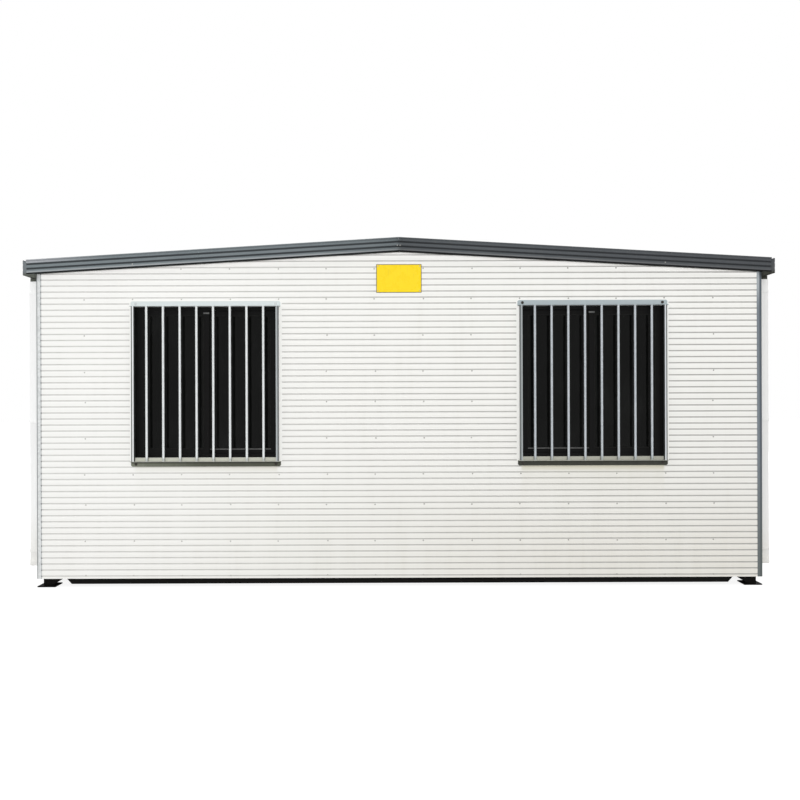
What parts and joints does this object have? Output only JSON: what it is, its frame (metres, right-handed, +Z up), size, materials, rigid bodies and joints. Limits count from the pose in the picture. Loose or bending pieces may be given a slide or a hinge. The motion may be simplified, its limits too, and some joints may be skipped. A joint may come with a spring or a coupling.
{
  "type": "portable site cabin",
  "caption": "Transportable site cabin: ribbed steel walls on a skid base, barred windows, low gabled roof with barges, end gutters and downpipes.",
  "frame": {"origin": "on the ground, under the middle of the cabin", "axes": "+X along the 6 m side, to the right as seen from the front; the front faces -Y; +Z up"},
  "size_m": [6.192, 3.11, 2.879],
  "materials": {
    "skid_steel": "black paint, dusty",
    "floor_ply": "sealed structural plywood",
    "wall_lining": "painted lining board over a stud frame",
    "wall_cladding": "cream-white prepainted steel, satin, lightly stained",
    "galvanised_flashing": "galvanised, dulled",
    "window_aluminium": "black powder coat, satin",
    "window_glass": "dark tinted, polished",
    "galvanised_steel": "hot-dip galvanised, spangled",
    "door_frame_steel": "dark grey prepainted steel",
    "door_paint": "cream-white satin paint",
    "door_furniture": "satin stainless",
    "roof_lining": "painted ceiling lining under insulation",
    "roof_steel": "zinc-aluminium coated sheet, weathered",
    "barge_steel": "dark blue-grey prepainted steel, satin",
    "pipe_plastic": "white drainage plastic",
    "sign_enamel": "plain yellow enamel"
  },
  "bodies": {
    "root": {"foot_front_left": "skid_steel", "foot_front_right": "skid_steel", "foot_back_left": "skid_steel", "foot_back_right": "skid_steel", "base_rail_front": "skid_steel", "base_rail_back": "skid_steel", "base_rail_left": "skid_steel", "base_rail_right": "skid_steel", "floor_joists": "skid_steel", "floor_deck": "floor_ply", "wall_front": "wall_lining", "wall_back": "wall_lining", "wall_left": "wall_lining", "wall_right": "wall_lining", "cladding_front": "wall_cladding", "cladding_back": "wall_cladding", "cladding_left": "wall_cladding", "cladding_right": "wall_cladding", "corner_flashing_front_left": "galvanised_flashing", "corner_flashing_front_right": "galvanised_flashing", "corner_flashing_back_left": "galvanised_flashing", "corner_flashing_back_right": "galvanised_flashing", "window_frame_front_left": "window_aluminium", "window_frame_front_right": "window_aluminium", "window_frame_back_left": "window_aluminium", "window_frame_back_right": "window_aluminium", "window_glass_front": "window_glass", "window_glass_back": "window_glass", "grille_front_left": "galvanised_steel", "grille_front_right": "galvanised_steel", "grille_back_left": "galvanised_steel", "grille_back_right": "galvanised_steel", "door_frame": "door_frame_steel", "door_leaf": "door_paint", "door_handle": "door_furniture", "roof_panel_left": "roof_lining", "roof_panel_right": "roof_lining", "roof_sheet_left": "roof_steel", "roof_sheet_right": "roof_steel", "ridge_cap": "roof_steel", "barge_front_left": "barge_steel", "barge_front_right": "barge_steel", "barge_back_left": "barge_steel", "barge_back_right": "barge_steel", "gutter_left": "barge_steel", "gutter_right": "barge_steel", "downpipe_left": "pipe_plastic", "downpipe_right": "pipe_plastic", "sign_plate": "sign_enamel"}
  },
  "joints": []
}
